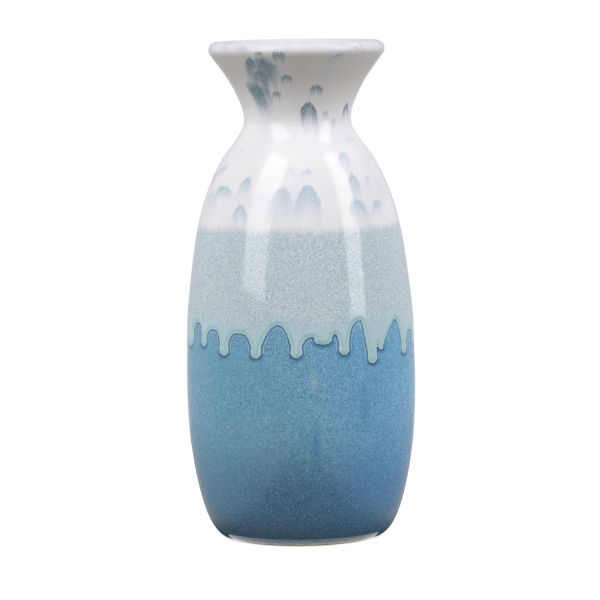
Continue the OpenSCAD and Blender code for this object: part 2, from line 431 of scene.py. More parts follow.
def edge_of_runs(step=0.12):
    """The whole lower edge of the pale coat, unrolled: it ends a full turn from its start."""
    turn = np.array([360, 0, 0, 0, 0, 0, 0])
    after = np.vstack([runs[1:], runs[:1] + turn])
    low_arch = np.minimum(np.roll(runs[:, 3], 1), runs[:, 3])
    depth = np.minimum(runs[:, 2], tip_share * (low_arch - runs[:, 1]))
    stretches = []
    for here, there, d, e in zip(runs, after, depth, np.roll(depth, -1)):
        left = np.radians(here[0]) * run_r + here[2]
        right = np.radians(there[0]) * run_r - there[2]
        crest = left + (right - left) * here[4]
        stretches.append(run_side(here, d, 1, crest, here[3], here[5]))
        stretches.append(run_side(there, e, -1, crest, here[3], here[6])[::-1])
    drawn = np.concatenate(stretches)
    gone = np.concatenate([[0], np.cumsum(np.hypot(*np.diff(drawn[:, :2], axis=0).T))])
    even = np.linspace(0, gone[-1], int(gone[-1] / step) + 1)
    edge = np.stack([np.interp(even, gone, column) for column in drawn.T], -1)
    lap = 2 * np.pi * even / even[-1]
    edge[:, 0] += 0.05 * np.sin(293 * lap) + 0.04 * np.sin(457 * lap + 1) - 0.04 * np.sin(1)
    edge[:, 1] += 0.05 * np.sin(331 * lap) + 0.04 * np.sin(523 * lap + 2) - 0.04 * np.sin(2)
    edge[-1, :2] = edge[0, :2] + [2 * np.pi * run_r, 0]
    return edge


run_edge = edge_of_runs()


def pointing_in(edge):
    """The direction from each point of the edge into the pale coat."""
    along = np.gradient(edge[:, :2], axis=0)
    along /= np.linalg.norm(along, axis=1)[:, None]
    return np.stack([-along[:, 1], along[:, 0]], -1)


edge_in = pointing_in(run_edge)
nearby = KDTree(len(run_edge))
for i, point in enumerate(run_edge):
    nearby.insert((point[0], point[1], 0), i)
nearby.balance()
first_run = np.radians(runs[0, 0]) * run_r


def unrolled(points):
    """Points on the wall as (across, up) in millimetres, from the first run's own angle on."""
    across = np.radians(angle_of(points)) * run_r
    across = first_run + (across - first_run) % (2 * np.pi * run_r)
    return np.stack([across, points[:, 2] / mm], -1)


def beside_runs(flat):
    """Millimetres from the edge of the runs, above 0 on the pale coat, and nearness to a tip."""
    found = [nearby.find((x, z, 0)) for x, z in flat]
    k = np.array([f[1] for f in found])
    side = ((flat - run_edge[k, :2]) * edge_in[k]).sum(1)
    return np.array([f[2] for f in found]) * np.sign(side), run_edge[k, 2]


# Streaks that run down the wall, of one width round it and one length down it
meridian_streaks, given, made = shader_group(
    "meridian_streaks", {"Width mm": 1.2, "Length mm": 20.0, "Contrast": 2.0},
    {"Streak": "NodeSocketFloat"})
level_place = put(meridian_streaks, "ShaderNodeVectorMath",
                  {0: place_on(meridian_streaks), 1: (1, 1, 0)}, operation="MULTIPLY").outputs[0]
round_it = put(meridian_streaks, "ShaderNodeVectorMath", {0: level_place},
               operation="NORMALIZE").outputs[0]
columns = put(meridian_streaks, "ShaderNodeVectorMath",
              {0: round_it, "Scale": sums(meridian_streaks, "DIVIDE", 40.0, given["Width mm"])},
              operation="SCALE").outputs[0]
rows = put(meridian_streaks, "ShaderNodeCombineXYZ", {
    2: sums(meridian_streaks, "DIVIDE", split_place(meridian_streaks)["Z"],
            sums(meridian_streaks, "MULTIPLY", given["Length mm"], mm))}).outputs[0]
at = put(meridian_streaks, "ShaderNodeVectorMath", {0: columns, 1: rows}, operation="ADD")
noise = put(meridian_streaks, "ShaderNodeTexNoise",
            {"Vector": at.outputs[0], "Scale": 1.0, "Detail": 2.0})
swing = sums(meridian_streaks, "MULTIPLY",
             sums(meridian_streaks, "SUBTRACT", noise.outputs["Fac"], 0.5), given["Contrast"])
meridian_streaks.links.new(sums(meridian_streaks, "ADD", swing, 0.5, clamp=True), made["Streak"])

blue_glaze, tree, shader = new_material("blue_glaze", 0.1)


def reading(tree, name):
    """A value that was kept on the vertices."""
    return put(tree, "ShaderNodeAttribute", attribute_name=name).outputs["Fac"]


def dotted(tree, scale, rim, core, channel, chosen_above):
    """Dots that fade in from rim to core, at those cells of a scatter that chance picks."""
    cells = put(tree, "ShaderNodeTexVoronoi", {"Vector": place_on(tree), "Scale": scale})
    chance = put(tree, "ShaderNodeSeparateColor", {0: cells.outputs["Color"]}).outputs[channel]
    return product(tree, fade(tree, cells.outputs["Distance"], rim, core),
                   sums(tree, "GREATER_THAN", chance, chosen_above))


split = split_place(tree)
up = sums(tree, "DIVIDE", split["Z"], mm)
side = sums(tree, "DIVIDE", split["X"], float(belly_r))
from_runs = reading(tree, "from_runs")
near_tip = reading(tree, "near_tip")

# teal on the left of the front and azure on the right, and darker and navy at the foot, partly
# where the glaze gathered and partly painted shade where the wall turns under
body = tint(tree, fade(tree, side, -0.8, 0.8), colour(98, 163, 192), colour(76, 166, 222))
streak = use_group(tree, meridian_streaks, Width_mm=9, Length_mm=45, Contrast=3.0)["Streak"]
body = tint(tree, product(tree, streak, fade(tree, side, -0.7, 0.5, 0.12, 0.4)), body,
            colour(76, 136, 184))
# darker towards the foot: gathered glaze and painted shade together
foot_tone_and_shade = tint(tree, fade(tree, side, -0.7, 0.7), colour(66, 126, 162), colour(24, 110, 182))
from_middle = sums(tree, "ABSOLUTE", side)
foot_tone_and_shade = tint(tree, fade(tree, from_middle, 0.7, 0.05), foot_tone_and_shade, colour(26, 70, 112))
foot_tone_and_shade = tint(tree, fade(tree, up, 24, 6), foot_tone_and_shade, colour(60, 80, 104))
body = tint(tree, fade(tree, up, 60, 22), body, foot_tone_and_shade)
# the grain, stronger to the right and weaker at the foot
fine = use_group(tree, fired_grain, Size_mm=0.18, Contrast=13.0)["Grain"]
grain_share = product(tree, fade(tree, side, -0.8, 0.2, 0.7, 0.95),
                      fade(tree, up, 60, 15, 1, 0.7))
wide = use_group(tree, fired_grain, Size_mm=3.0, Drawn_Out=1.5, Contrast=2.0)["Grain"]
to_right = fade(tree, side, -0.2, 0.8)
pale_grain = tint(tree, to_right, colour(168, 216, 226), colour(160, 220, 238))
pale_grain = tint(tree, fade(tree, up, 60, 26, 0, 0.22), pale_grain, colour(62, 128, 176))
deep_grain = tint(tree, to_right, colour(16, 74, 132), colour(8, 80, 146))
body = tint(tree, fade(tree, fine, 0.5, 1.0, 0, grain_share), body, pale_grain)
body = tint(tree, fade(tree, fine, 0.5, 0.0, 0, grain_share), body, deep_grain)
body = tint(tree, product(tree, wide, 0.15), body, colour(56, 112, 156))
# pale specks, many and small, and a few dark pinholes
speck = dotted(tree, 850.0, 0.28, 0.12, 0, 0.72)
body = tint(tree, product(tree, speck, 0.35), body, colour(200, 222, 222))
pit = dotted(tree, 85.0, 0.035, 0.02, 1, 0.45)
body = tint(tree, product(tree, pit, 0.7), body, colour(40, 48, 56))


def patch(tree, angle, z, half_width, half_height):
    """A soft-edged oval on the front of the wall, 1 at its middle and 0 outside it."""
    r, a = wall_r(z * mm) - lap_t, np.radians(angle)
    away = put(tree, "ShaderNodeVectorMath", {
        0: place_on(tree), 1: (r * np.sin(a), -r * np.cos(a), z * mm)},
        operation="SUBTRACT").outputs[0]
    away = put(tree, "ShaderNodeVectorMath", {
        0: away, 1: (1 / (half_width * np.cos(a) * mm), 0, 1 / (half_height * mm))},
        operation="MULTIPLY").outputs[0]
    away = put(tree, "ShaderNodeVectorMath", {0: away}, operation="LENGTH").outputs["Value"]
    return product(tree, fade(tree, away, 1, 0), fade(tree, split_place(tree)["Y"], 0, -10 * mm))


# a milky spot and a smaller one where the pale glaze splashed, and two streaks of deeper azure
grainy = fade(tree, fine, 0, 1, 0.3, 0.8)
for where, share, hue in (((6, 74, 3.2, 7), 1.0, colour(166, 200, 204)),
                          ((11.5, 73, 0.9, 1.2), 0.9, colour(168, 200, 206)),
                          ((7, 47, 3.2, 15), 0.5, colour(52, 110, 164)),
                          ((33, 62, 4.5, 17), 0.35, colour(52, 110, 164))):
    body = tint(tree, product(tree, patch(tree, *where), share, grainy), body, hue)
# the milky line inside each arch, and the dark line right along the edge of the runs, where the
# blue pooled and where a painted shadow lies beside the raised edge
broken = use_group(tree, fired_grain, Size_mm=0.34, Contrast=6.0)["Grain"]
line = product(tree, fade(tree, from_runs, -0.72, -0.92), fade(tree, from_runs, -1.4, -1.2),
               fade(tree, near_tip, 0.6, 0.1), fade(tree, broken, 0.2, 0.8, 0.1, 1.0))
body = tint(tree, line, body, colour(206, 212, 230))
# dark edge line: pooled blue glaze with a painted shadow beside the raised edge
pooled_and_shaded_edge = sums(tree, "MAXIMUM", fade(tree, from_runs, -0.75, -0.5, 0, 0.75),
            product(tree, fade(tree, from_runs, -2.6, -1.0), 0.25))
body = tint(tree, pooled_and_shaded_edge, body, colour(50, 112, 158))
# a soft shade under each tip
shade = product(tree, fade(tree, from_runs, -2.2, -0.1), fade(tree, near_tip, 0.1, 0.9), 0.6)
body = tint(tree, shade, body, colour(48, 88, 130))
# it thinned to a tan line along its lower rim, broken here and there
patchy = use_group(tree, fired_grain, Size_mm=5.0, Contrast=4.0)["Grain"]
body = tint(tree, product(tree, fade(tree, up, 2.0, 1.2), patchy), body, colour(206, 178, 140))

# Skin of a fired glaze: a slow swell and a fine orange peel
glaze_skin, given, made = shader_group(
    "glaze_skin", {"Peel": 1.0, "Swell": 1.0}, {"Normal": "NodeSocketVector"})
place = place_on(glaze_skin)
swell = put(glaze_skin, "ShaderNodeTexNoise", {"Vector": place, "Scale": 45.0, "Detail": 1.0})
peel = put(glaze_skin, "ShaderNodeTexNoise", {"Vector": place, "Scale": 900.0, "Detail": 1.0})
rise = sums(glaze_skin, "ADD", product(glaze_skin, swell.outputs["Fac"], given["Swell"]),
            product(glaze_skin, peel.outputs["Fac"], 0.03, given["Peel"]))
bump = put(glaze_skin, "ShaderNodeBump", {"Height": rise, "Strength": 1.0, "Distance": 0.1 * mm})
glaze_skin.links.new(bump.outputs["Normal"], made["Normal"])


def glaze_over(tree, shader, coat):
    """A glaze's colour, gloss and skin, given to its shader."""
    shader.inputs["IOR"].default_value = glaze_ior
    tree.links.new(coat, shader.inputs["Base Color"])
    tree.links.new(use_group(tree, glaze_skin)["Normal"], shader.inputs["Normal"])


glaze_over(tree, shader, body)

rim_out = turned_under(foot_end, foot_end, lap_t, 0)[0]
rim_in = turned_under(foot_end, foot_end, coat_t, 0)[0]
rim_centre, rim_arm = (rim_out + rim_in) / 2, (rim_in - rim_out) / 2
rim_side = np.array([rim_arm[1], -rim_arm[0]])
rim_a = np.linspace(0, np.pi, 9)[:, None]
rounded_rim = rim_centre - np.cos(rim_a) * rim_arm - np.sin(rim_a) * rim_side
blue_coat = turn_piece("blue_glaze_coat", section_of(
    rounded_rim[::-1],
    turned_under(foot_end, 0, lap_t),
    outside(wall_bottom, fine_low, lap_t, 1.6 * mm),
    outside(fine_low, lap_z, lap_t, 0.5 * mm),
    outside(lap_z, wall_bottom, coat_t, 4 * mm),
    turned_under(0, foot_end, coat_t, 14)), blue_glaze)
points = points_of(blue_coat)
far = 9.0               # millimetres, beyond which the distance to the runs plays no part
beside, tipness = np.full(len(points), -far), np.zeros(len(points))
near = points[:, 2] > fine_low
beside[near], tipness[near] = beside_runs(unrolled(points[near]))
record_on(blue_coat, "from_runs", np.clip(beside, -far, far))
record_on(blue_coat, "near_tip", tipness)
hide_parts("blue_glaze")
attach(blue_coat, "root")

# ---------------------------------------------------------------------------------------------
# The pale coat: a thick grey-blue glaze that the shoulder end was dipped in, so that it crossed
# the blue one. It melted and ran there, and hangs over the blue in a row of rounded drips with
# a fat edge. Above the runs it is laid on the clay.

# The grey-blue and white glazes meet in a soft, streaky line, which both of them draw
band_colour, given, made = shader_group(
    "band_colour", {}, {"Colour": "NodeSocketColor", "Pale": "NodeSocketFloat"})
up = sums(band_colour, "DIVIDE", split_place(band_colour)["Z"], mm)
streak = use_group(band_colour, meridian_streaks, Width_mm=1.5, Length_mm=9, Contrast=2.5)
wave = use_group(band_colour, meridian_streaks, Width_mm=14, Length_mm=60, Contrast=2)
line = sums(band_colour, "ADD", up, product(band_colour, streak["Streak"], 1.6))
line = sums(band_colour, "ADD", line, product(band_colour, wave["Streak"], 2.0))
pale_share = fade(band_colour, line, 143.2, 138.2)
sand = use_group(band_colour, fired_grain, Size_mm=0.18, Drawn_Out=2.2, Contrast=12.0)["Grain"]
threads = use_group(band_colour, meridian_streaks, Width_mm=0.5, Length_mm=12, Contrast=4.0)
pale = tint(band_colour, fade(band_colour, up, 136, 104), colour(182, 202, 215),
            colour(170, 197, 213))
pale = tint(band_colour, product(band_colour, threads["Streak"],
                                 fade(band_colour, up, 135, 105, 0.2, 0.5)), pale,
            colour(206, 217, 224))
pale = tint(band_colour, fade(band_colour, sand, 0.55, 1.0, 0, 0.85), pale, colour(234, 232, 220))
pale = tint(band_colour, fade(band_colour, sand, 0.5, 0.0, 0, 0.85), pale, colour(124, 156, 184))
mottle = use_group(band_colour, fired_grain, Size_mm=16, Drawn_Out=1.5, Contrast=1.5)["Grain"]
white = tint(band_colour, mottle, colour(232, 230, 231), colour(222, 219, 223))
both = tint(band_colour, pale_share, white, pale)
band_colour.links.new(both, made["Colour"])
band_colour.links.new(pale_share, made["Pale"])

pale_glaze, tree, shader = new_material("pale_glaze", 0.1)
up = sums(tree, "DIVIDE", split_place(tree)["Z"], mm)
from_edge = reading(tree, "from_runs")
near_tip = reading(tree, "near_tip")
coat = use_group(tree, band_colour)["Colour"]
# turquoise where it ran thin over the blue, low down and along its edge
thin_glaze_and_shade = sums(tree, "MAXIMUM", product(tree, fade(tree, up, 104, 92), 0.7),
            product(tree, fade(tree, from_edge, 6.5, 0.6), 0.9))
thread = use_group(tree, meridian_streaks, Width_mm=0.6, Length_mm=10, Contrast=3.0)["Streak"]
run_colour = tint(tree, product(tree, thread, 0.6), colour(132, 184, 198),
                  colour(164, 206, 212))
run_colour = tint(tree, fade(tree, from_edge, 1.3, 2.3, 0, 0.45), run_colour,
                  colour(196, 220, 224))
coat = tint(tree, product(tree, thin_glaze_and_shade, 0.85), coat, run_colour)
# a pale green rim along the edge: partly the glaze's own colour, partly painted light that lifts
# the shade of the rounded edge
coat = tint(tree, product(tree, fade(tree, from_edge, 1.7, 0.2), 0.6), coat, colour(204, 230, 218))
# dark dots at the very tips
dot = product(tree, dotted(tree, 1100.0, 0.45, 0.3, 0, 0.78), fade(tree, near_tip, 0.55, 0.85),
              fade(tree, from_edge, 1.1, 0.6), 0.75)
coat = tint(tree, dot, coat, colour(70, 84, 74))
glaze_over(tree, shader, coat)


def run_mesh(every=3):
    """The pale coat unrolled flat: its points (across, up) in millimetres, and its triangles."""
    full = 2 * np.pi * run_r
    border = run_edge[::every, :2]
    if (len(run_edge) - 1) % every:
        border = np.vstack([border, run_edge[-1:, :2]])
    top = np.stack([np.radians(np.arange(runs[0, 0] + 360, runs[0, 0] - 1, -1.0)) * run_r,
                    np.full(361, band_z / mm)], -1)
    seam = np.arange(border[0, 1] + 0.4, band_z / mm - 0.5, 1.0)
    right = np.stack([np.full(len(seam), first_run + full), seam], -1)
    left = right[::-1] - [full, 0]
    loop = np.vstack([border, right, top, left])
    between_ends = slice(2 * every, -2 * every, every)
    rings = [run_edge[between_ends, :2] + out * edge_in[between_ends]
             for out in (0.1, 0.25, 0.45)]
    fields = []
    for low, high, step in ((80, 102, 0.42), (102, 109, 0.75), (109, band_z / mm - 0.6, 1.2)):
        up = np.arange(low, high, step)
        across = np.arange(first_run + step, first_run + full - step / 2, step)
        field = np.stack(np.meshgrid(across, up), -1)
        field[1::2, :, 0] += step / 2
        fields.append(field.reshape(-1, 2))
    field = np.vstack(fields)
    field = field[field[:, 0] < first_run + full - 0.3]
    clear, _ = beside_runs(field)
    inner = np.vstack(rings + [field[clear > 0.65]])
    flat = np.vstack([loop, inner])
    outline = [list(range(len(loop)))]
    made = delaunay_2d_cdt([Vector(p) for p in flat.tolist()], [], outline, 1, 1e-5, True)
    flat = np.array([tuple(p) for p in made[0]])
    return flat, np.array(made[2])


flat, faces = run_mesh()
clear, tipness = beside_runs(flat)
clear = np.clip(clear, 0, 99)
clear[clear < 0.02] = 0
# A fat, rounded edge, a little hollow behind it, and full thickness above the runs
bead = 1.9              # width of the rounded edge
swelling = 1 - (1 - np.clip(clear / bead, 0, 1))**1.7
hollow = 0.16 * np.clip((clear - bead) / 2, 0, 1) * np.clip((100 - flat[:, 1]) / 6, 0, 1)
over = lap_t * (swelling - hollow)
z = np.minimum(flat[:, 1] * mm, band_z)
outer = on_wall(z, lap_t - over)
inner = on_wall(z, np.where(z < lap_z - 0.1 * mm, lap_t, coat_t))
turn = flat[:, 0] / run_r


def round_the_vase(section):
    """Points (radius, height) put at each point's own angle."""
    return np.stack([section[:, 0] * np.sin(turn), -section[:, 0] * np.cos(turn),
                     section[:, 1]], -1)


point_count = len(flat)
at_top = np.where(flat[:, 1] > band_z / mm - 1e-4)[0]
at_top = at_top[np.argsort(flat[at_top, 0])]
closing = np.stack([at_top[:-1], at_top[1:], at_top[1:] + point_count,
                    at_top[:-1] + point_count], -1)
mesh = bpy.data.meshes.new("pale_drip_coat")
mesh.from_pydata(np.vstack([round_the_vase(outer), round_the_vase(inner)]).tolist(), [],
                 faces.tolist() + (faces[:, ::-1] + point_count).tolist()
                 + closing[:, ::-1].tolist())
pale_coat = bpy.data.objects.new("pale_drip_coat", mesh)
bpy.context.scene.collection.objects.link(pale_coat)
mesh.materials.append(pale_glaze)
record_on(pale_coat, "from_runs", np.tile(np.clip(clear, 0, 20), 2))
record_on(pale_coat, "near_tip", np.tile(tipness, 2))
pale_coat.data.update()
smooth_over(pale_coat)
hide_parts("pale_drip_glaze")
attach(pale_coat, "root")

# ---------------------------------------------------------------------------------------------
# The white coat: an opaque gloss glaze from the shoulder, over the rolled lip and down into the
# throat. Blue-grey flecks were touched on round the neck and shoulder before the firing, and
# each one melted and bled downwards from a ragged top.

white_glaze, tree, shader = new_material("white_glaze", 0.13)
shader.inputs["Specular IOR Level"].default_value = 0.38
up = sums(tree, "DIVIDE", split_place(tree)["Z"], mm)
coat = use_group(tree, band_colour)["Colour"]
fleck = reading(tree, "fleck")
# greyer and warmer under the lip and round the neck: painted shade
thin_glaze_and_shade = product(tree, fade(tree, up, 184, 206), fade(tree, up, 217.5, 215.5), 0.85)
coat = tint(tree, thin_glaze_and_shade, coat, colour(200, 196, 191))
# painted shade over the top of the lip's roll
coat = tint(tree, fade(tree, up, 215.5, 217.5, 0, 0.4), coat, colour(208, 207, 212))
# the flecks, grainy and drawn downwards, slate where deep and paler where faint
bled = use_group(tree, meridian_streaks, Width_mm=0.5, Length_mm=6, Contrast=2.6)["Streak"]
speckled = use_group(tree, fired_grain, Size_mm=0.28, Drawn_Out=1.4, Contrast=6.0)["Grain"]
ink = product(tree, fleck, fade(tree, bled, 0, 1, 0.85, 1.2))
ink = sums(tree, "MULTIPLY", ink, fade(tree, speckled, 0, 1, 0.65, 1.3), clamp=True)
slate = tint(tree, fade(tree, up, 172, 188), colour(166, 189, 203), colour(84, 122, 138))
slate = tint(tree, fade(tree, fleck, 0.1, 0.6), colour(186, 198, 216), slate)
coat = tint(tree, ink, coat, slate)
# faint violet streaks over the roll of the lip, stronger to its sides: partly the glaze's own
# colour and partly painted shade
over_roll = use_group(tree, meridian_streaks, Width_mm=4, Length_mm=400, Contrast=3.0)["Streak"]
aside = sums(tree, "ABSOLUTE", split_place(tree)["X"])
roll_streaks_and_shade = product(tree, fade(tree, up, 213, 218),
                    fade(tree, aside, 0.1 * lip_r, 0.6 * lip_r, 0.45, 1),
                    fade(tree, over_roll, 0.1, 0.9, 0.1, 0.5))
coat = tint(tree, roll_streaks_and_shade, coat, colour(186, 194, 214))
# one rust spot on the roll of the lip
rust_a = np.radians(41.5)
rust_z = 0.9 * mm
rust_r = lip_centre[0] + np.sqrt(lip_roll**2 - rust_z**2)
rust_at = (rust_r * np.sin(rust_a), -rust_r * np.cos(rust_a), lip_centre[1] + rust_z)
rust = put(tree, "ShaderNodeVectorMath", {0: place_on(tree), 1: rust_at},
           operation="DISTANCE").outputs["Value"]
coat = tint(tree, fade(tree, rust, 0.7 * mm, 0.35 * mm, 0, 0.85), coat, colour(212, 160, 96))
glaze_over(tree, shader, coat)

white_coat = turn_piece("white_lip_coat", section_of(
    outside(band_z, wall_top, 0, 0.5 * mm),
    over_lip(0, 0, 24),
    inside(wall_top, throat_z, 0, 1.5 * mm),
    inside(throat_z, wall_top, liner_t, 3 * mm),
    over_lip(coat_t, liner_t, 12)[::-1],
    outside(wall_top, band_z, coat_t, 3 * mm),
    outside(band_z, band_z, 0, 1)[:1]), white_glaze)

# Where each fleck was touched on, and how far it bled:
# [angle, height of its top, half width, length, sideways drift, depth of colour, how peaked]
flecks = np.array([
    # under the lip and round the neck
    [-24.9, 216.6, 2.1, 3.8, -0.1, 0.8, 0.3], [-32.7, 213.9, 1.6, 11.9, -4.9, 0.8, 0.4],
    [-39.6, 201, 3.2, 10.9, 1.1, 0.9, 0.3], [-23.6, 212.8, 3.5, 14.8, 0.1, 0.6, 0.5],
    [-29.7, 208.2, 3.5, 15.6, -1.8, 0.7, 0.5], [-11.5, 216.4, 2.9, 6.2, -0.6, 0.9, 0.2],
    [-8.2, 206.1, 2.4, 4.4, 0.1, 0.9, 0.2], [-18.5, 198.7, 2, 4.1, -0.8, 0.8, 0.2],
    [17.7, 201.5, 3.1, 5.1, 0, 0.9, 0.4], [10.4, 194.3, 3.7, 11.2, 1.3, 1, 1],
    [30.4, 190.1, 1.4, 4.2, 0.4, 0.6, 0.8], [42.1, 186.6, 1.2, 4.3, -0.2, 0.5, 0.8],
    [31.4, 215.7, 2.4, 3.4, -3.6, 0.6, 0.5], [60.9, 192.9, 2.9, 6.7, 1.5, 0.9, 1.2],
    [24.5, 209.8, 0.8, 8.1, 0.5, 0.3, 0.5], [-15.1, 210.9, 1.8, 10.8, 0, 0.4, 0.5],
    [-34, 212.5, 3, 16, -5.5, 0.5, 0.3], [-27, 213.5, 3.4, 15, 1.5, 0.55, 0.3],
    [-21.5, 214, 2.6, 13, 3, 0.5, 0.3], [-43, 203, 3.6, 13, 1.5, 0.6, 0.3],
    [-33, 201, 4, 14, 0, 0.4, 0.5], [25.5, 217, 1, 15, -4.5, 0.35, 0.5],
    [29, 216.5, 0.9, 14, -4.5, 0.3, 0.5], [18, 203, 0.7, 10, 2.8, 0.3, 0.5],
    [-50.4, 216.6, 0.9, 3, 1.6, 0.5, 0.5], [-37.5, 218.6, 3, 4.5, -0.5, 0.45, 0.1],
    [44, 216.8, 1, 5, -2.5, 0.4, 0.5], [49, 216.6, 1.1, 6, -2.5, 0.45, 0.5],
    # round the shoulder
    [-55.7, 173.9, 1.1, 1.9, 1.4, 0.7, 0.5], [-64.6, 166.4, 3.4, 4.8, -5.1, 0.8, 0.4],
    [-70.8, 155, 5.2, 7.7, 4.4, 0.5, 0.5], [-56, 157.7, 5.8, 4.7, 0.7, 1, 0.3],
    [-35.5, 162.2, 2.9, 8.2, -1.6, 0.9, 1], [-37.6, 150.5, 3.8, 7.5, 1.1, 0.9, 1.1],
    [-5.2, 165.9, 2.4, 3.2, -0.2, 0.4, 0.9], [-9.9, 158.2, 5, 13.6, -1.3, 0.6, 1.2],
    [6.2, 165.6, 2.4, 3.3, -0.2, 0.7, 0.9], [6.1, 159.2, 5.6, 12.1, -0.6, 0.9, 1.4],
    [38.4, 172, 3.2, 6.8, -1.6, 0.7, 0.8], [39.2, 162.8, 2.7, 10.1, -0.2, 0.8, 1],
    [36.6, 152.1, 4.6, 9.3, 1.8, 0.9, 0.8], [53.6, 161.5, 1.7, 4, -1.4, 0.5, 0.8],
    [55.7, 151, 3.3, 6.7, -3.4, 0.8, 0.4], [60.3, 178.2, 4.4, 3.1, -2.3, 0.5, 0.2],
    [-20, 178.2, 1.1, 2.1, 0.5, 0.3, 0.5], [-23, 173.1, 1.6, 1.9, 0.6, 0.3, 0.5],
    [-10.1, 173.3, 0.9, 1.9, 0.2, 0.25, 0.5], [2.2, 177.5, 0.5, 2.7, -0.1, 0.25, 0.5],
    [-3, 160, 10, 15, -1, 0.3, 0.5], [-24, 156, 5.5, 12, 1, 0.25, 0.4],
    [46, 163, 6, 20, 1, 0.25, 0.4], [62, 173, 6, 19, -2, 0.3, 0.4],
    [-60, 161, 7, 14, 1, 0.25, 0.5], [66, 160, 5, 14, -1, 0.3, 0.6],
])
chance = np.random.default_rng(11)
behind = []             # by turns round the neck and round the shoulder
for i in range(22):
    for heights, widest, longest in (((186, 215), 3.4, 12), ((150, 178), 5.4, 11)):
        behind.append([chance.uniform(78, 282), chance.uniform(*heights),
                       chance.uniform(1, widest), chance.uniform(3, longest),
                       chance.uniform(-2, 2), chance.uniform(0.4, 1), chance.uniform(0.2, 1.3)])
flecks = np.vstack([flecks, behind])
faint = 0.35            # a fleck no deeper than this has a soft top
neck_from = 183         # the flecks above this height, round the neck, have sharper sides


def fleck_ink(points):
    """How much of the flecks' colour there is at each point, from 0 to 1."""
    chance = np.random.default_rng(5)
    at, z = angle_of(points), points[:, 2] / mm
    r = np.hypot(points[:, 0], points[:, 1]) / mm
    ink = np.zeros(len(points))
    for angle, top, half, length, drift, depth, peak in flecks:
        phase = chance.uniform(0, 6.28, 4)
        across = np.radians((at - angle + 180) % 360 - 180) * r
        below = top - z
        near = (np.abs(across) < 2 * half + abs(drift) + 3) & (below > -3) & (below < 2.5 * length)
        x = across[near] - drift * np.clip(below[near] / length, 0, 1.3)
        u = x / half
        jag = (0.5 * np.sin(3.7 * x + phase[0]) + 0.4 * np.sin(7.9 * x + phase[1])
               + 0.3 * np.sin(13.1 * x + phase[2])) * min(1, half / 3)
        d = below[near] - half * peak * np.abs(u)**1.6 + 0.7 * jag
        edge = np.clip((d + 0.5) / (1.2 if depth > faint else 5), 0, 1)
        softness = 0.5 if top > neck_from else 0.8
        sides = np.clip((1 + softness / 2 - np.abs(u)) / softness, 0, 1)
        sides = sides * sides * (3 - 2 * sides)
        comb = 1 + 0.15 * np.sin(4.3 * x + phase[3]) * np.clip(d / 4, 0, 1)
        gone = np.clip(d / length * comb, 0, 1.4) / 1.4
        touch = depth * edge * sides * (1 - gone)**1.6
        ink[near] = 1 - (1 - ink[near]) * (1 - np.clip(touch, 0, 1))
    return ink


points = points_of(white_coat)
outer = np.hypot(points[:, 0], points[:, 1]) > wall_r(points[:, 2]) - 2 * mm
outer |= points[:, 2] > wall_top
record_on(white_coat, "fleck", np.where(outer, fleck_ink(points), 0))
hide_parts("white_lip_glaze")
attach(white_coat, "root")

# ---------------------------------------------------------------------------------------------
# The liner: a clear white glaze poured in and out again, which coats the inside from the throat
# down to a rounded floor and lets the vase hold water.

liner_glaze, tree, shader = new_material("liner_glaze", 0.14)
pool = use_group(tree, fired_grain, Size_mm=12, Contrast=1.6)["Grain"]
speck = use_group(tree, fired_grain, Size_mm=0.7, Contrast=2.6)["Grain"]
coat = tint(tree, pool, colour(238, 234, 232), colour(226, 224, 226))
coat = tint(tree, fade(tree, speck, 0.75, 1.0, 0, 0.3), coat, colour(196, 190, 184))
glaze_over(tree, shader, coat)

floor_z = 8 * mm
bowl_pull = 6 * mm      # how far its curve keeps the wall's own slope
bowl_reach = 17 * mm    # how far in from the wall the floor is flat
floor_pull = 9 * mm     # how far the curve keeps the floor's own slope


def bowl(depth, steps=40):
    """The inside's rounded floor, from the wall's bottom to near the axis."""
    start, z = inside(wall_bottom, wall_bottom, depth, 1)[0], floor_z - depth
    flat_r = start[0] - bowl_reach
    curve = [start, start - bowl_pull * np.array([stations[0, 2], 1]),
             np.array([flat_r + floor_pull, z]), np.array([flat_r, z])]
    return bezier(curve, np.linspace(0, 1, steps + 1))


def floor_disc(z, radius, steps=12):
    """The flat middle of the floor, from a radius to the axis."""
    r = np.linspace(radius, 0, steps)
    return np.stack([r, np.full(steps, z)], -1)


under = floor_z - liner_t
liner = turn_piece("liner_coat", section_of(
    inside(throat_z, wall_bottom, 0, 2 * mm),
    bowl(0),
    floor_disc(floor_z, bowl(0)[-1, 0]),
    floor_disc(under, bowl(liner_t)[-1, 0])[::-1],
    bowl(liner_t)[::-1],
    inside(wall_bottom, throat_z, liner_t, 4 * mm),
    inside(throat_z, throat_z, 0, 1)[:1]), liner_glaze)
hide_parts("liner_glaze")
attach(liner, "root")

# ---------------------------------------------------------------------------------------------
# The table: a plain pale board, with a white card on it, rounded in front, under the vase.

board_half, board_front, board_back, board_t = 0.26, -0.3, 0.3, 0.018
card_r, card_back, card_t = 0.0392, -0.0145, 0.0003


def flat_box(name, low, high, finish):
    """A plain board between two corners."""
    mesh = bpy.data.meshes.new(name)
    mesh.from_pydata(
        [(x, y, z) for z in (low[2], high[2]) for y in (low[1], high[1])
         for x in (low[0], high[0])], [],
        [(0, 2, 3, 1), (4, 5, 7, 6), (0, 1, 5, 4), (1, 3, 7, 5), (3, 2, 6, 7), (2, 0, 4, 6)])
    board = bpy.data.objects.new(name, mesh)
    bpy.context.scene.collection.objects.link(board)
    mesh.materials.append(finish)


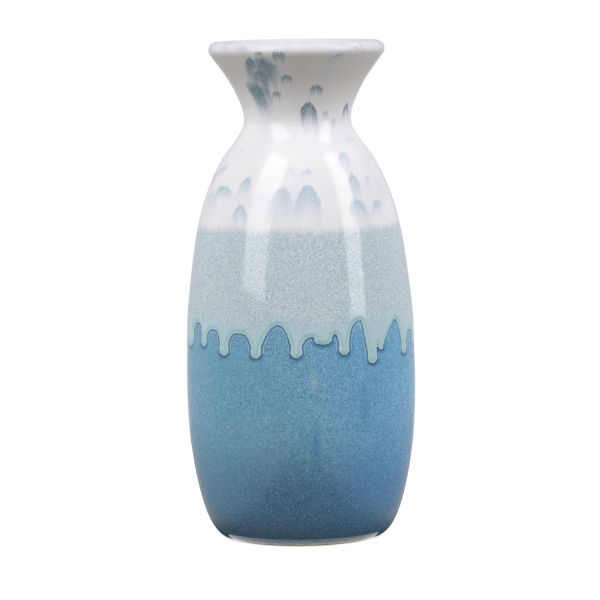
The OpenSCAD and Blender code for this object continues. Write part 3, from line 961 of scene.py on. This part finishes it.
def pale_finish(name, dim, near, far, thrown):
    """White as it is seen, with its own colour and glow for the light that it throws back.

    It glows by near round the foot and by far beyond it, and thrown is the share of the glow
    that lights the vase where it isn't mirrored.
    """
    made, tree, shader = new_material(name, 0.7)
    ray = put(tree, "ShaderNodeLightPath").outputs
    split = split_place(tree)
    aside = sums(tree, "MAXIMUM", sums(tree, "ABSOLUTE", split["X"]), split["Y"])
    glow = product(tree, fade(tree, aside, 36 * mm, 60 * mm, near, far),
                   fade(tree, ray["Is Glossy Ray"], 0, 1, thrown, 1))
    seen = ray["Is Camera Ray"]
    tree.links.new(tint(tree, seen, dim, colour(222, 222, 224)), shader.inputs["Base Color"])
    tree.links.new(fade(tree, seen, 0, 1, glow, 0.72), shader.inputs["Emission Strength"])
    shader.inputs["Emission Color"].default_value = (1, 1, 1, 1)
    shader.inputs["Specular IOR Level"].default_value = 0.1
    return made


flat_box("table", (-board_half, board_front, -board_t - card_t), (board_half, board_back, -card_t),
         pale_finish("table_finish", colour(70, 67, 64), near=0, far=0.42, thrown=0.4))
card_edge = [(card_r * np.cos(a), card_r * np.sin(a)) for a in np.linspace(-np.pi, 0, 97)
             if card_r * np.sin(a) < card_back]
corners = len(card_edge)
mesh = bpy.data.meshes.new("card")
mesh.from_pydata([(x, y, z) for z in (-card_t, 0) for x, y in card_edge], [],
                 [tuple(range(corners, 2 * corners)), tuple(range(corners - 1, -1, -1))]
                 + [(i, (i + 1) % corners, (i + 1) % corners + corners, i + corners)
                    for i in range(corners)])
mesh.materials.append(pale_finish("card_finish", colour(170, 170, 170), near=1.15, far=1.15,
                                  thrown=0.15))
card = bpy.data.objects.new("card", mesh)
bpy.context.scene.collection.objects.link(card)

# ---------------------------------------------------------------------------------------------
# The light: two tall soft boxes in front, one on each side, leaning over towards the vase, and a
# bright white backdrop.

world = bpy.data.worlds.new("studio")
bpy.context.scene.world = world
world.use_nodes = True
tree = world.node_tree
tree.nodes.clear()
way = put(tree, "ShaderNodeTexCoord").outputs["Generated"]
split = put(tree, "ShaderNodeSeparateXYZ", {0: way}).outputs
ray = put(tree, "ShaderNodeLightPath").outputs
to_sides = fade(tree, sums(tree, "ABSOLUTE", split["X"]), 0.3, 0.9)
# what lights the vase: dim ahead, bright above, dimmer overhead and to the left
ahead = tint(tree, to_sides, (0.12, 0.113, 0.1, 1), (0.45, 0.45, 0.45, 1))
soft = tint(tree, fade(tree, split["Z"], 0.0, 0.35), ahead, (1.04, 1.04, 1.07, 1))
soft = tint(tree, fade(tree, split["Z"], 0.6, 0.95), soft, (0.22, 0.22, 0.24, 1))
soft = tint(tree, fade(tree, split["X"], 0.7, -0.7, 0, 0.32), soft, (0.2, 0.2, 0.2, 1))
below = tint(tree, to_sides, (0.05, 0.048, 0.045, 1), (0.8, 0.8, 0.8, 1))
soft = tint(tree, fade(tree, split["Z"], 0.04, -0.1), soft, below)
# what it mirrors: a grey room in front, a lighter wall behind, and the table
mirrored = tint(tree, fade(tree, split["Y"], -0.3, 0.4), (0.22, 0.22, 0.23, 1),
                (0.6, 0.6, 0.64, 1))
mirrored = tint(tree, fade(tree, split["Y"], 0.5, 1.0), mirrored, (0.62, 0.61, 0.66, 1))
beyond = fade(tree, sums(tree, "MAXIMUM", sums(tree, "ABSOLUTE", split["X"]), split["Y"]),
              0.2, 0.8)
mirrored_table = tint(tree, beyond, (0.06, 0.06, 0.06, 1), (0.42, 0.41, 0.43, 1))
mirrored = tint(tree, fade(tree, split["Z"], -0.1, -0.4), mirrored, mirrored_table)
room = tint(tree, ray["Is Glossy Ray"], soft, mirrored)
room = tint(tree, ray["Is Camera Ray"], room, (1, 1, 1, 1))
backdrop = put(tree, "ShaderNodeBackground", {"Color": room, "Strength": 1.0})
put(tree, "ShaderNodeOutputWorld", {"Surface": backdrop.outputs[0]})


def soft_box(name, azimuth, distance, low, length, width, lean, turn, radiance):
    """A light at an angle from the front, its foot at low, leant over and turned in degrees."""
    light = bpy.data.lights.new(name, "AREA")
    light.shape = "RECTANGLE"
    light.size, light.size_y = width, length
    light.energy = radiance * np.pi * width * length
    box = bpy.data.objects.new(name, light)
    bpy.context.scene.collection.objects.link(box)
    a = np.radians(azimuth)
    box.matrix_world = (
        Matrix.Translation((distance * np.sin(a), -distance * np.cos(a), low))
        @ Matrix.Rotation(a, 4, "Z") @ Matrix.Rotation(np.radians(90 - lean), 4, "X")
        @ Matrix.Rotation(np.radians(turn), 4, "Z") @ Matrix.Translation((0, length / 2, 0)))


soft_box("soft_box_left", azimuth=-48.5, distance=1.2, low=0.24, length=1.2, width=0.53,
         lean=32, turn=-3, radiance=3.6)
soft_box("soft_box_right", azimuth=60, distance=1.2, low=0.145, length=1.2, width=0.36,
         lean=29, turn=-8, radiance=3.8)

# ---------------------------------------------------------------------------------------------
# The camera: a long lens a little above the vase, rolled very slightly.

camera_back, camera_up = 1.613, 0.2587
looking_down, rolled = np.radians(5.437), np.radians(-0.823)

lens = bpy.data.cameras.new("camera")
lens.sensor_width, lens.lens = 36, 218.98
lens.clip_end = 20
camera = bpy.data.objects.new("camera", lens)
bpy.context.scene.collection.objects.link(camera)
tilt = Matrix.Rotation(np.pi / 2 - looking_down, 4, "X")
camera.matrix_world = (Matrix.Translation((0, -camera_back, camera_up)) @ tilt
                       @ Matrix.Rotation(rolled, 4, "Z"))
bpy.context.scene.camera = camera
bpy.context.scene.view_settings.view_transform = "Standard"
